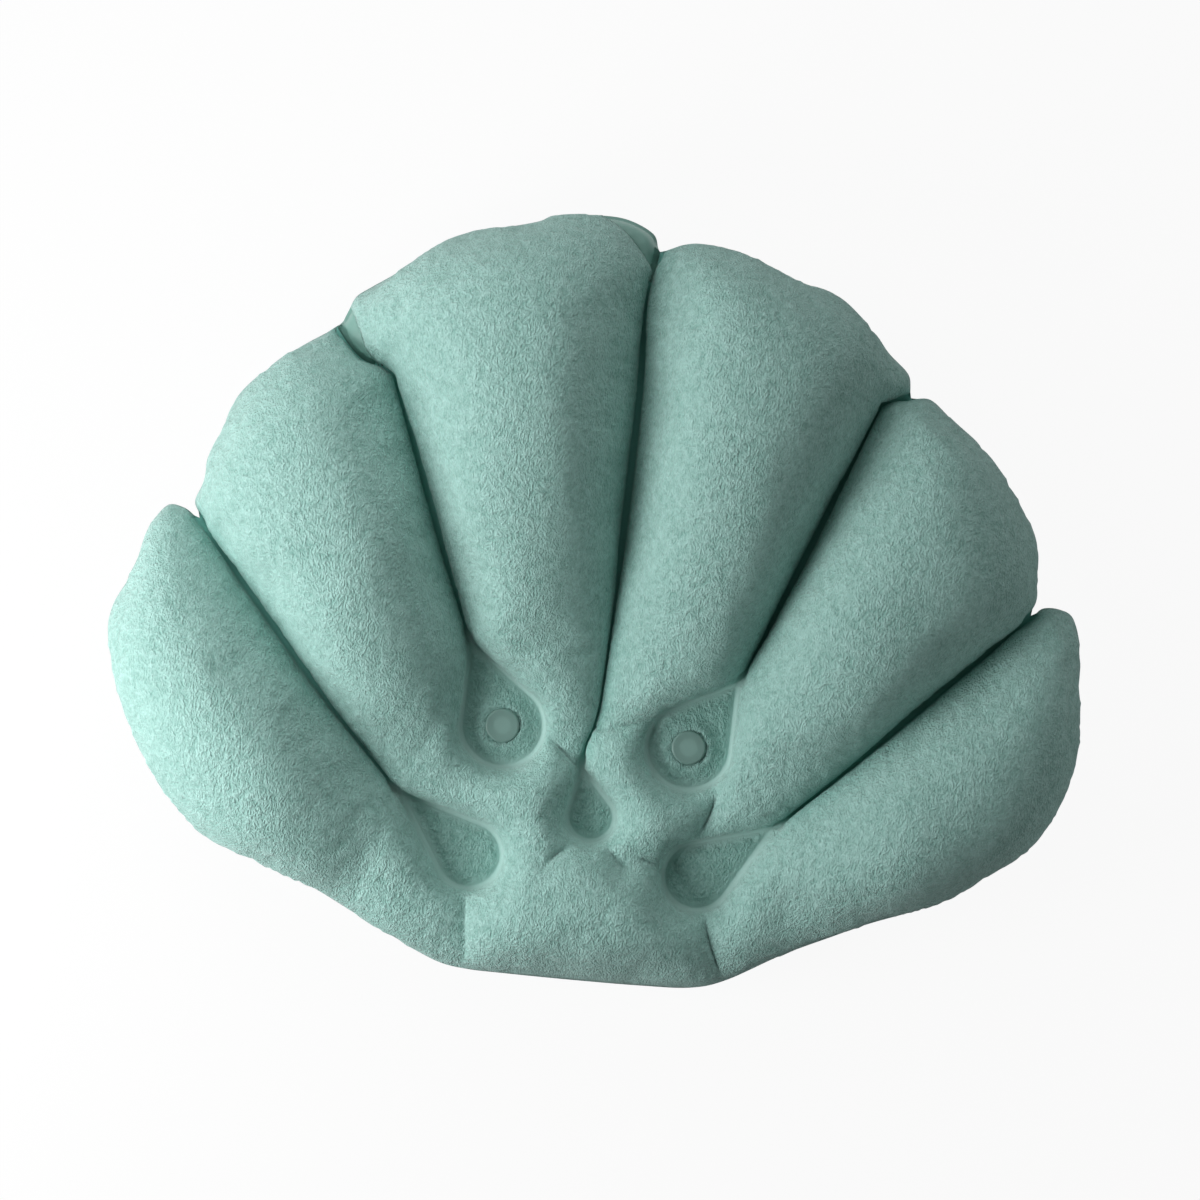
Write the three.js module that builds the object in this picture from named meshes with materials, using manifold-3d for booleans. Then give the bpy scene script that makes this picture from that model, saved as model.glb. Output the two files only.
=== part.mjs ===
// Inflatable scallop-shell bath pillow, face up: +X across the fan, +Y towards its crest, +Z out of the face.
// The two suction cups' lips and the lowest lobe backs lie in the plane z = 0. Millimetres.
// A terry face with a vinyl lining behind it and a vinyl back are welded round the rim, along five grooves
// and round five teardrop islands; the two upper islands carry the suction cups.
import * as THREE from 'three';
import Module from 'manifold-3d';
import { mergeVertices } from 'three/addons/utils/BufferGeometryUtils.js';

const wasm = await Module();
wasm.setup();

// Driving sizes of the fan
const fanWidth = 380;
const fanHeight = 288;
const hubSeamHeight = 21;
const frontFullness = 1.06;
const backFullness = 0.72;
const liftStart = 128;
const liftEnd = 215;
const liftSideLead = 1.6;

// Sheets and welds
const terryThickness = 1.6;
const liningThickness = 0.5;
const backThickness = 0.6;
const sheetGap = 0.3;
const weldWidth = 2.4;
const rimWidth = 1.8;
const cupIslandRadius = 16.5;
const sideIslandRadius = 13.5;
const middleIslandRadius = 11;

// Suction cups
const cupLipRadius = 21;
const cupLipLand = 2;
const cupWall = 1.8;
const cupBossRadius = 7.5;
const cupBossHeight = 4.5;
const cupNeckRadius = 3.4;
const cupHeadRadius = 6.6;
const cupHeadThickness = 2.2;
const neckClearance = 0.35;

// Inflation valve
const valveBoreRadius = 11;
const valvePatchRadius = 14.5;
const valvePatchThickness = 0.8;
const collarWall = 1.3;
const collarHeight = 3.2;
const diaphragmThickness = 0.6;
const neckOuterRadius = 4.5;
const neckInnerRadius = 3.1;
const neckLength = 9;
const neckFlangeRadius = 6;
const neckFlangeThickness = 1;
const flapRadius = 4.3;
const flapThickness = 0.5;
const stopperHeadRadius = 6.2;
const stopperHeadThickness = 1.8;
const stopperPlugLength = 5;
const stopperTipRadius = 2.3;
const plugClearance = 0.3;
const stopperTabReach = 3.6;
const stopperTabWidth = 5;
const strapWidth = 3.2;
const strapThickness = 0.9;
const strapReach = 2.4;
const fitGap = 0.3;

// Finish of each material
const terryFinish = { color: 0x8fbfb3, roughness: 0.95, metalness: 0 };
const liningFinish = { color: 0xdfe8e4, roughness: 0.45, metalness: 0 };
const backFinish = { color: 0x7fada2, roughness: 0.42, metalness: 0 };
const clearFinish = { color: 0xc9dcd6, roughness: 0.2, metalness: 0 };

// Fineness of the sheets' facets, the counts of round pieces and the overrun of every cut
const rimStep = 14;
const arcStep = 9;
const grooveStep = 18;
const flankWidth = 6.5;
const flankClearShare = 0.8;
const hubStep = 9;
const stepGrowth = 0.065;
const ringClearShare = 0.7;
const cupSides = 28;
const holeSides = 16;
const valveSides = 20;
const tabSegments = 6;
const farSpans = 300;
const tieTolerance = 1e-11;
const solverSweeps = 600;
const solverDrive = 1.8;
const overrun = 2;

// Plan of the right half, as shares of half the fan's width and of its height, from the hub round to the crest
const outlineShares = [
  [[0, 0], [0.12, 0], [0.253, 0.004]],
  [[0.253, 0.004], [0.388, 0.03], [0.57, 0.085], [0.86, 0.19], [0.963, 0.28], [1, 0.36]],
  [[1, 0.36], [0.985, 0.441], [0.95, 0.511], [0.893, 0.557], [0.834, 0.547]],
  [[0.834, 0.547], [0.858, 0.585], [0.84, 0.645], [0.785, 0.724], [0.698, 0.782], [0.61, 0.82], [0.556, 0.815]],
  [[0.556, 0.815], [0.556, 0.843], [0.501, 0.893], [0.392, 0.95], [0.266, 0.979], [0.135, 1], [0.05, 0.986], [0, 0.955]],
];
const weldPlans = [
  { centreShares: [0, 0.212], tipShares: [0, 0.29], notchShares: [0, 0.955], radius: middleIslandRadius },
  { centreShares: [0.1905, 0.318], tipShares: [0.2747, 0.42], notchShares: [0.556, 0.815], radius: cupIslandRadius },
  { centreShares: [0.2326, 0.1444], tipShares: [0.3858, 0.2212], notchShares: [0.834, 0.547], radius: sideIslandRadius },
];

const halfWidth = fanWidth / 2;
const frontStack = sheetGap / 2 + liningThickness + sheetGap + terryThickness;
const backStack = sheetGap / 2 + backThickness;

const place = ([across, up]) => new THREE.Vector2(across * halfWidth, up * fanHeight);
const mirrored = (p) => new THREE.Vector2(-p.x, p.y);
const mix = (a, b, s) => a.clone().lerp(b, s);
const smooth = (low, high, x) => THREE.MathUtils.smoothstep(x, low, high);

// Points at an even step along a smooth curve, without its last one
function stepAlong(shares, step) {
  const spline = new THREE.SplineCurve(shares.map(place));
  const count = Math.max(1, Math.round(spline.getLength() / step));
  return spline.getSpacedPoints(count).slice(0, -1);
}

// The rim, counterclockwise from the middle of the hub's edge
function rimOutline() {
  const rightHalf = outlineShares.flatMap((shares) => stepAlong(shares, rimStep));
  const crest = place(weldPlans[0].notchShares);
  const leftHalf = rightHalf.slice(1).reverse().map(mirrored);
  return [...rightHalf, crest, ...leftHalf];
}

// A closed outline moved inwards by one width, with mitred corners
function inset(outline, width) {
  return outline.map((here, n) => {
    const before = outline[(n + outline.length - 1) % outline.length];
    const after = outline[(n + 1) % outline.length];
    const inwardA = new THREE.Vector2(before.y - here.y, here.x - before.x).normalize();
    const inwardB = new THREE.Vector2(here.y - after.y, after.x - here.x).normalize();
    const mitre = inwardA.clone().add(inwardB).normalize();
    return here.clone().addScaledVector(mitre, width / Math.max(mitre.dot(inwardA), Math.SQRT1_2));
  });
}

// One weld's closed outline: round its teardrop island and up both sides of its groove
function weldOutline({ centreShares, tipShares, notchShares, radius }) {
  const centre = place(centreShares);
  const tip = place(tipShares);
  const notch = place(notchShares);
  const along = tip.clone().sub(centre);
  const heading = Math.atan2(along.y, along.x);
  const touch = Math.acos(radius / along.length());
  const sweep = 2 * (Math.PI - touch);
  const arcCount = Math.ceil((radius * sweep) / arcStep);
  const arc = [];
  for (let n = 0; n <= arcCount; n++) {
    const angle = heading + touch + sweep * (n / arcCount);
    arc.push(new THREE.Vector2(Math.cos(angle), Math.sin(angle)).multiplyScalar(radius).add(centre));
  }
  const groove = notch.clone().sub(tip);
  const reach = groove.length() - rimWidth - weldWidth;
  groove.normalize();
  const side = new THREE.Vector2(groove.y, -groove.x).multiplyScalar(weldWidth / 2);
  const count = Math.round(reach / grooveStep);
  const right = [];
  const left = [];
  for (let n = 0; n <= count; n++) {
    const middle = tip.clone().addScaledVector(groove, reach * (n / count));
    right.push(middle.clone().add(side));
    left.push(middle.clone().sub(side));
  }
  const lastOfArc = arc[arc.length - 1];
  return [mix(arc[0], left[0], 0.5), ...arc, mix(lastOfArc, right[0], 0.5), ...right, ...left.reverse()];
}

const weldOutlines = weldPlans.map(weldOutline).flatMap((outline) => {
  const onAxis = Math.min(...outline.map((p) => p.x)) < 0;
  return onAxis ? [outline] : [outline, outline.map(mirrored).reverse()];
});
const rim = rimOutline();
const insideRim = inset(rim, rimWidth);

function distanceToOutline(p, outline) {
  return Math.min(...outline.map((a, n) => {
    const ab = outline[(n + 1) % outline.length].clone().sub(a);
    const share = THREE.MathUtils.clamp(p.clone().sub(a).dot(ab) / ab.lengthSq(), 0, 1);
    return p.distanceTo(a.clone().addScaledVector(ab, share));
  }));
}

function isInside(p, outline) {
  let inside = false;
  outline.forEach((a, n) => {
    const b = outline[(n + 1) % outline.length];
    const crosses = a.y > p.y !== b.y > p.y;
    if (crosses && p.x < a.x + ((b.x - a.x) * (p.y - a.y)) / (b.y - a.y)) inside = !inside;
  });
  return inside;
}

// Free points of the sheet: a row beside every weld and the rim, then rings round the hub that widen outwards
function freePoints() {
  const outlines = [insideRim, ...weldOutlines];
  const found = [];
  const offer = (p, clearance, spacing) => {
    const q = p.x < spacing / 2 ? new THREE.Vector2(0, p.y) : p;
    const onSheet = isInside(q, insideRim) && !weldOutlines.some((outline) => isInside(q, outline));
    if (p.x < 0 || !onSheet) return;
    if (outlines.some((outline) => distanceToOutline(q, outline) < clearance)) return;
    if (found.some((other) => other.distanceTo(q) < spacing)) return;
    found.push(q);
    if (q.x > 0) found.push(mirrored(q));
  };
  outlines.forEach((outline, k) => {
    const row = inset(outline, k === 0 ? flankWidth : -flankWidth);
    row.forEach((p) => offer(p, flankWidth * flankClearShare, flankWidth));
  });
  let ring = 0;
  for (let radius = hubStep; radius < fanHeight; radius += hubStep + stepGrowth * radius) {
    const step = hubStep + stepGrowth * radius;
    const count = Math.round((Math.PI * radius) / step);
    for (let n = 0; n <= count; n++) {
      const turn = (Math.PI / count) * (n + (ring % 2) / 2);
      const p = new THREE.Vector2(radius * Math.cos(turn), radius * Math.sin(turn));
      offer(p, step * ringClearShare, step * ringClearShare);
    }
    ring += 1;
  }
  return found;
}

// Triangles between points such that no point lies within another triangle's circle
function triangulate(points) {
  const far = fanWidth * farSpans;
  const all = [...points, new THREE.Vector2(-far, -far), new THREE.Vector2(far, -far), new THREE.Vector2(0, far)];
  const holds = ([a, b, c], p) => {
    const [ax, ay, bx, by, cx, cy] = [a, b, c].flatMap((i) => [all[i].x - p.x, all[i].y - p.y]);
    const [aa, bb, cc] = [ax * ax + ay * ay, bx * bx + by * by, cx * cx + cy * cy];
    const terms = [aa * (bx * cy - cx * by), bb * (cx * ay - ax * cy), cc * (ax * by - bx * ay)];
    const total = terms[0] + terms[1] + terms[2];
    return total > tieTolerance * Math.max(...terms.map(Math.abs));
  };
  let triangles = [[points.length, points.length + 1, points.length + 2]];
  points.forEach((p, i) => {
    const edges = new Map();
    triangles = triangles.filter((t) => {
      if (!holds(t, p)) return true;
      t.forEach((a, n) => {
        const b = t[(n + 1) % 3];
        if (!edges.delete(`${b},${a}`)) edges.set(`${a},${b}`, [a, b, i]);
      });
      return false;
    });
    triangles.push(...edges.values());
  });
  return triangles.filter((t) => t.every((i) => i < points.length));
}

// The flat plan of one sheet: its points, which of them are welded, its triangles and its rim
function sheetPlan() {
  const welded = [...insideRim, ...weldOutlines.flat()];
  const inner = [...welded, ...freePoints()];
  const middle = ([a, b, c]) => inner[a].clone().add(inner[b]).add(inner[c]).divideScalar(3);
  const triangles = triangulate(inner).filter((t) => isInside(middle(t), insideRim));
  const points = [...inner, ...rim];
  rim.forEach((_, n) => {
    const next = (n + 1) % rim.length;
    triangles.push([n, n + inner.length, next + inner.length]);
    triangles.push([n, next + inner.length, next]);
  });
  const fixed = points.map((_, i) => i < welded.length || i >= inner.length);
  return { points, fixed, triangles, rim: rim.map((_, n) => n + inner.length) };
}

// The height of a film of even tension over the plan: a soap film's rise, whose root is a round tube's profile
function solveRise({ points, fixed, triangles }) {
  const links = points.map(() => new Map());
  const areas = points.map(() => 0);
  for (const [a, b, c] of triangles) {
    const corners = [a, b, c];
    const ab = points[b].clone().sub(points[a]);
    const ac = points[c].clone().sub(points[a]);
    const area = Math.abs(ab.cross(ac)) / 2;
    for (let n = 0; n < 3; n++) {
      const [i, j, k] = [corners[n], corners[(n + 1) % 3], corners[(n + 2) % 3]];
      const u = points[j].clone().sub(points[i]);
      const v = points[k].clone().sub(points[i]);
      const weight = u.dot(v) / (4 * area);
      links[j].set(k, (links[j].get(k) || 0) + weight);
      links[k].set(j, (links[k].get(j) || 0) + weight);
      areas[i] += area / 3;
    }
  }
  const film = points.map(() => 0);
  for (let sweep = 0; sweep < solverSweeps; sweep++) {
    points.forEach((_, i) => {
      if (fixed[i]) return;
      let total = areas[i];
      let weights = 0;
      for (const [j, weight] of links[i]) {
        total += weight * film[j];
        weights += weight;
      }
      film[i] += solverDrive * (total / weights - film[i]);
    });
  }
  return film.map((value) => Math.sqrt(2 * Math.max(value, 0)));
}

const sheet = sheetPlan();
const rise = solveRise(sheet);

// The welds lift away from the hub, sooner sideways, until the lowest lobe back just touches the cups' plane
const liftShares = sheet.points.map((p) => smooth(liftStart, liftEnd, Math.hypot(p.x * liftSideLead, p.y)));
const rimLift = Math.max(...rise.map((height, i) => {
  const belowPlane = backFullness * height + backStack - hubSeamHeight;
  return liftShares[i] > 0 && belowPlane > 0 ? belowPlane / liftShares[i] : 0;
}));
const seamHeight = sheet.points.map((_, i) => hubSeamHeight + rimLift * liftShares[i]);

// The outer face of the front (side 1) or of the back (side -1)
function faceHeights(side) {
  const stack = side > 0 ? frontStack : backStack;
  const fullness = side > 0 ? frontFullness : backFullness;
  return seamHeight.map((z, i) => z + side * (stack + fullness * rise[i]));
}

// The direction in which each point of a face goes deeper: square to it, and mitred along the welds
function depthDirections(side, heights) {
  const at = (i) => new THREE.Vector3(sheet.points[i].x, sheet.points[i].y, heights[i]);
  const sums = sheet.points.map(() => new THREE.Vector3());
  for (const [a, b, c] of sheet.triangles) {
    const allFixed = sheet.fixed[a] && sheet.fixed[b] && sheet.fixed[c];
    if (allFixed) continue;
    const normal = at(b).sub(at(a)).cross(at(c).sub(at(a))).normalize().multiplyScalar(side);
    for (const i of [a, b, c]) sums[i].add(normal);
  }
  return sums.map((sum, i) => {
    if (sum.length() === 0) return new THREE.Vector3(0, 0, side);
    const n = sum.normalize();
    if (!sheet.fixed[i]) return n;
    const steep = 1 + Math.abs(n.z);
    return new THREE.Vector3(n.x / steep, n.y / steep, side);
  });
}

const faces = new Map([1, -1].map((side) => {
  const heights = faceHeights(side);
  return [side, { heights, directions: depthDirections(side, heights) }];
}));

// A closed sheet between two depths below the outer face of one side
function layer(side, depthStart, depthEnd) {
  const { heights, directions } = faces.get(side);
  const count = sheet.points.length;
  const positions = [];
  for (const depth of [depthStart, depthEnd]) {
    sheet.points.forEach((p, i) => {
      const d = directions[i];
      positions.push(p.x - d.x * depth, p.y - d.y * depth, heights[i] - d.z * depth);
    });
  }
  const index = [];
  const add = (a, b, c) => index.push(...(side > 0 ? [a, b, c] : [a, c, b]));
  for (const [a, b, c] of sheet.triangles) {
    add(a, b, c);
    add(a + count, c + count, b + count);
  }
  sheet.rim.forEach((id, n) => {
    const next = sheet.rim[(n + 1) % sheet.rim.length];
    add(id, id + count, next + count);
    add(id, next + count, next);
  });
  const geometry = new THREE.BufferGeometry();
  geometry.setAttribute('position', new THREE.Float32BufferAttribute(positions, 3));
  geometry.setIndex(index);
  return geometry;
}

// Solids for joining and cutting
function solidOf(geometry) {
  const bare = geometry.clone();
  bare.deleteAttribute('normal');
  bare.deleteAttribute('uv');
  const merged = mergeVertices(bare);
  const mesh = new wasm.Mesh({
    numProp: 3,
    vertProperties: new Float32Array(merged.attributes.position.array),
    triVerts: new Uint32Array(merged.index.array),
  });
  return new wasm.Manifold(mesh);
}

function geometryOf(solid) {
  const mesh = solid.getMesh();
  const geometry = new THREE.BufferGeometry();
  geometry.setAttribute('position', new THREE.BufferAttribute(new Float32Array(mesh.vertProperties), 3));
  geometry.setIndex(new THREE.BufferAttribute(new Uint32Array(mesh.triVerts), 1));
  return geometry;
}

// A piece turned about its own upright axis at a place of the plan; the profile runs up its outside
function turned(profile, sides, centre) {
  const geometry = new THREE.LatheGeometry(profile.map(([r, z]) => new THREE.Vector2(r, z)), sides);
  geometry.rotateX(Math.PI / 2);
  geometry.translate(centre.x, centre.y, 0);
  return geometry;
}

const postAt = (radius, low, high, centre, sides) => solidOf(
  turned([[0, low], [radius, low], [radius, high], [0, high]], sides, centre),
);

const [middleWeld, cupWeld] = weldPlans;
const cupPlaces = [mirrored(place(cupWeld.centreShares)), place(cupWeld.centreShares)];
const valveCentre = new THREE.Vector2(0, (rimWidth + place(middleWeld.centreShares).y - middleIslandRadius) / 2);
const crownTop = Math.max(...faces.get(1).heights) + overrun;

// A sheet with a round hole at each given place
function punched(geometry, holes) {
  return geometryOf(holes.reduce(
    (solid, hole) => solid.subtract(postAt(hole.radius, -overrun, crownTop, hole.centre, hole.sides)),
    solidOf(geometry),
  ));
}

const cupHoles = cupPlaces.map((centre) => ({ centre, radius: cupNeckRadius + neckClearance, sides: holeSides }));
const valveHole = { centre: valveCentre, radius: valveBoreRadius, sides: valveSides };

const liningStart = terryThickness + sheetGap;
const frontTerry = punched(layer(1, 0, terryThickness), cupHoles);
const frontLining = punched(layer(1, liningStart, liningStart + liningThickness), cupHoles);
const backPanel = punched(layer(-1, 0, backThickness), [...cupHoles, valveHole]);

// One suction cup: lip, dome, boss, neck through the island, and the button head on the terry
function suctionCup(centre) {
  const islandUnder = hubSeamHeight - backStack - fitGap;
  const islandTop = hubSeamHeight + frontStack + fitGap;
  const bossBottom = islandUnder - cupBossHeight;
  const domeInner = cupLipRadius - cupLipLand;
  const headBevel = cupHeadThickness / 4;
  const domeSteps = 5;
  const profile = [];
  const hollowTop = bossBottom - cupWall;
  for (let k = domeSteps; k >= 0; k--) {
    const turn = (Math.PI / 2) * (k / domeSteps);
    profile.push([domeInner * Math.cos(turn), hollowTop * Math.sin(turn)]);
  }
  profile[0][0] = 0;
  profile.push([cupLipRadius, 0], [cupLipRadius, cupWall / 2]);
  for (let k = 1; k < domeSteps; k++) {
    const turn = (Math.PI / 2) * (k / domeSteps);
    const outer = cupBossRadius + (cupLipRadius - cupBossRadius) * Math.cos(turn);
    profile.push([outer, cupWall / 2 + (bossBottom - cupWall / 2) * Math.sin(turn)]);
  }
  profile.push([cupBossRadius, bossBottom], [cupBossRadius, islandUnder], [cupNeckRadius, islandUnder]);
  profile.push([cupNeckRadius, islandTop], [cupHeadRadius, islandTop]);
  profile.push([cupHeadRadius, islandTop + cupHeadThickness - headBevel]);
  profile.push([cupHeadRadius - headBevel, islandTop + cupHeadThickness], [0, islandTop + cupHeadThickness]);
  return turned(profile, cupSides, centre);
}

// Where the back panel lies at one distance from the valve's axis
function backHeightsRound(radius) {
  const { heights } = faces.get(-1);
  const found = [];
  for (let n = 0; n < valveSides; n++) {
    const turn = (2 * Math.PI * n) / valveSides;
    const p = new THREE.Vector2(Math.cos(turn), Math.sin(turn)).multiplyScalar(radius).add(valveCentre);
    for (const [a, b, c] of sheet.triangles) {
      const [A, B, C] = [sheet.points[a], sheet.points[b], sheet.points[c]];
      const whole = B.clone().sub(A).cross(C.clone().sub(A));
      const wa = B.clone().sub(p).cross(C.clone().sub(p)) / whole;
      const wb = C.clone().sub(p).cross(A.clone().sub(p)) / whole;
      const wc = 1 - wa - wb;
      if (Math.min(wa, wb, wc) >= 0) {
        found.push(wa * heights[a] + wb * heights[b] + wc * heights[c]);
        break;
      }
    }
  }
  return found;
}

const boreHeights = backHeightsRound(valveBoreRadius);
const patchDepth = backThickness + sheetGap;
const diaphragmRim = Math.max(...boreHeights) + patchDepth + valvePatchThickness;
const headBottom = Math.min(...boreHeights);
const headTop = headBottom + stopperHeadThickness;
const neckMouth = headTop + fitGap;
const neckRoot = neckMouth + neckLength;

// The welded patch inside the back panel, with the collar that holds the diaphragm
function valveBase() {
  const cutPatch = solidOf(layer(-1, patchDepth, patchDepth + valvePatchThickness))
    .intersect(postAt(valvePatchRadius, -overrun, crownTop, valveCentre, valveSides));
  const cutCollar = solidOf(layer(-1, patchDepth, patchDepth + collarHeight))
    .intersect(postAt(valveBoreRadius + collarWall, -overrun, crownTop, valveCentre, valveSides));
  const bore = postAt(valveBoreRadius, -overrun, crownTop, valveCentre, valveSides);
  return geometryOf(cutPatch.add(cutCollar).subtract(bore));
}

// The dished web that lets the neck pop out and push in
function valveDiaphragm() {
  const outer = valveBoreRadius - fitGap;
  const inner = neckFlangeRadius + fitGap;
  const low = neckRoot - diaphragmThickness;
  return turned([
    [inner, low],
    [outer, diaphragmRim - diaphragmThickness],
    [outer, diaphragmRim],
    [inner, neckRoot],
    [inner, low],
  ], valveSides, valveCentre);
}

function valveNeck() {
  return turned([
    [neckInnerRadius, neckMouth],
    [neckOuterRadius, neckMouth],
    [neckOuterRadius, neckRoot - neckFlangeThickness],
    [neckFlangeRadius, neckRoot - neckFlangeThickness],
    [neckFlangeRadius, neckRoot],
    [neckInnerRadius, neckRoot],
    [neckInnerRadius, neckMouth],
  ], valveSides, valveCentre);
}

// The non-return flap on the neck's inner end
function valveFlap() {
  const low = neckRoot + fitGap;
  const high = low + flapThickness;
  return turned([[0, low], [flapRadius, low], [flapRadius, high], [0, high]], valveSides, valveCentre);
}

// The finger tab of the stopper: a flat tongue with a round end, towards the hub's edge
function stopperTab() {
  const radius = stopperTabWidth / 2;
  const end = stopperHeadRadius + stopperTabReach - radius;
  const shape = new THREE.Shape();
  shape.moveTo(0, -radius);
  shape.lineTo(end, -radius);
  shape.absarc(end, 0, radius, -Math.PI / 2, Math.PI / 2, false);
  shape.lineTo(0, radius);
  shape.closePath();
  const geometry = new THREE.ExtrudeGeometry(shape, {
    depth: stopperHeadThickness,
    bevelEnabled: false,
    curveSegments: tabSegments,
  });
  geometry.rotateZ(-Math.PI / 2);
  geometry.translate(valveCentre.x, valveCentre.y, headBottom);
  return geometry;
}

function valveStopper() {
  const plugTop = headTop + stopperPlugLength;
  const body = solidOf(turned([
    [0, headBottom],
    [stopperHeadRadius, headBottom],
    [stopperHeadRadius, headTop],
    [neckInnerRadius - plugClearance, headTop],
    [stopperTipRadius, plugTop],
    [0, plugTop],
  ], valveSides, valveCentre));
  return geometryOf(body.add(solidOf(stopperTab())));
}

// The strap that keeps the stopper on the neck: out from the neck, round, and back to the head's edge
function stopperStrap() {
  const neckEnd = -(neckOuterRadius + fitGap);
  const headEnd = -(stopperHeadRadius + fitGap);
  const far = headEnd - strapReach;
  const high = neckMouth + strapThickness * 2;
  const low = headBottom + (stopperHeadThickness - strapThickness) / 2;
  const shape = new THREE.Shape();
  shape.moveTo(neckEnd, high);
  shape.lineTo(far, high);
  shape.lineTo(far, low);
  shape.lineTo(headEnd, low);
  shape.lineTo(headEnd, low + strapThickness);
  shape.lineTo(far + strapThickness, low + strapThickness);
  shape.lineTo(far + strapThickness, high - strapThickness);
  shape.lineTo(neckEnd, high - strapThickness);
  shape.closePath();
  const geometry = new THREE.ExtrudeGeometry(shape, { depth: strapWidth, bevelEnabled: false });
  geometry.translate(0, 0, -strapWidth / 2);
  geometry.rotateX(Math.PI / 2);
  geometry.rotateZ(-Math.PI / 2);
  geometry.translate(valveCentre.x, valveCentre.y, 0);
  return geometry;
}

// The whole pillow, with its origin under the middle of its outline
const pillow = new THREE.Group();
const rimPoints = sheet.rim.map((id) => sheet.points[id]);
const lowest = Math.min(...rimPoints.map((p) => p.y));
const highest = Math.max(...rimPoints.map((p) => p.y));
pillow.position.set(0, -(lowest + highest) / 2, 0);

function addPiece(name, geometry, finish) {
  const mesh = new THREE.Mesh(geometry, new THREE.MeshStandardMaterial(finish));
  mesh.name = name;
  pillow.add(mesh);
}

addPiece('front_terry_panel', frontTerry, terryFinish);
addPiece('front_vinyl_lining', frontLining, liningFinish);
addPiece('back_vinyl_panel', backPanel, backFinish);
['left', 'right'].forEach((side, n) => addPiece(`suction_cup_${side}`, suctionCup(cupPlaces[n]), clearFinish));
addPiece('valve_base', valveBase(), clearFinish);
addPiece('valve_diaphragm', valveDiaphragm(), clearFinish);
addPiece('valve_neck', valveNeck(), clearFinish);
addPiece('valve_flap', valveFlap(), clearFinish);
addPiece('valve_stopper', valveStopper(), clearFinish);
addPiece('stopper_strap', stopperStrap(), clearFinish);

export default pillow;
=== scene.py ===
import math
import bpy
import bmesh
import numpy as np
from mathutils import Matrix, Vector, noise
from mathutils.bvhtree import BVHTree
from mathutils.geometry import delaunay_2d_cdt


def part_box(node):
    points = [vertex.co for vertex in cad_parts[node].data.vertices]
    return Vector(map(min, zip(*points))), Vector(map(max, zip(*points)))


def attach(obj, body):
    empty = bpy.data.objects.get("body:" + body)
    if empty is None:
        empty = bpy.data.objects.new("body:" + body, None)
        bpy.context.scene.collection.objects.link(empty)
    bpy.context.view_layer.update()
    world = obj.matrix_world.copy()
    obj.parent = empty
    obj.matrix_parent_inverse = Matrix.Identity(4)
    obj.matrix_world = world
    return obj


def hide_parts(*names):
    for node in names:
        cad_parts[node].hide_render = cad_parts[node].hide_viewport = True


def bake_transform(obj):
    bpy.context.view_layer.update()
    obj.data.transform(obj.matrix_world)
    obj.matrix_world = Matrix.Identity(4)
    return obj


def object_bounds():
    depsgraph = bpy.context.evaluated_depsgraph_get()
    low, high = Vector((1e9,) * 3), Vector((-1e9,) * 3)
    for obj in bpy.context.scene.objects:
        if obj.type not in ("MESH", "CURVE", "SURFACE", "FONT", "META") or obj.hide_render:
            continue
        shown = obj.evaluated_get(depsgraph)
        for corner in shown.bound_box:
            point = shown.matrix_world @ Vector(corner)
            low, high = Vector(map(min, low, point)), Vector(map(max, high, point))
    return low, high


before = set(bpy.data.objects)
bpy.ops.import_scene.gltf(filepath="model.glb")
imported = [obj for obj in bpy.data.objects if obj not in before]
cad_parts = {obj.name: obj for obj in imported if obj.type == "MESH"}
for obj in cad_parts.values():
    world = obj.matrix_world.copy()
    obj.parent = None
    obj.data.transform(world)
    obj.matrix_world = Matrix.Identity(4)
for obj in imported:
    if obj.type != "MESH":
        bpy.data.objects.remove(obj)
cadBox = [list(corner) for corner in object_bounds()]
mm = 0.001
hubEdgeY = cadBox[0][1]  # plans are in millimetres: x across the fan, y up from the hub's edge


def toRow(points, z):
    return np.column_stack([points[:, 0] * mm, points[:, 1] * mm + hubEdgeY, z * mm])


def middleOf(node):
    # Where a CAD piece's middle lies, in metres
    low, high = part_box(node)
    return ((low[0] + high[0]) / 2, (low[1] + high[1]) / 2)


def planCentre(node):
    x, y = middleOf(node)
    return np.array([x / mm, (y - hubEdgeY) / mm])


def addObject(name, data):
    obj = bpy.data.objects.new(name, data)
    bpy.context.collection.objects.link(obj)
    return obj


# Camera straight above the face, rolled as the pillow lies in the picture
view = {"target": (-4.5, 144.2, 28), "frameWidth": 462, "lens": 120, "sensor": 36, "roll": math.radians(6.8)}


def makeCamera():
    data = bpy.data.cameras.new("camera")
    data.lens = view["lens"]
    data.sensor_width = view["sensor"]
    camera = addObject("camera", data)
    x, y, z = view["target"]
    distance = view["frameWidth"] * view["lens"] / view["sensor"]
    camera.location = (x * mm, y * mm + hubEdgeY, (z + distance) * mm)
    camera.rotation_euler = (0, 0, view["roll"])
    bpy.context.scene.camera = camera


makeCamera()

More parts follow.
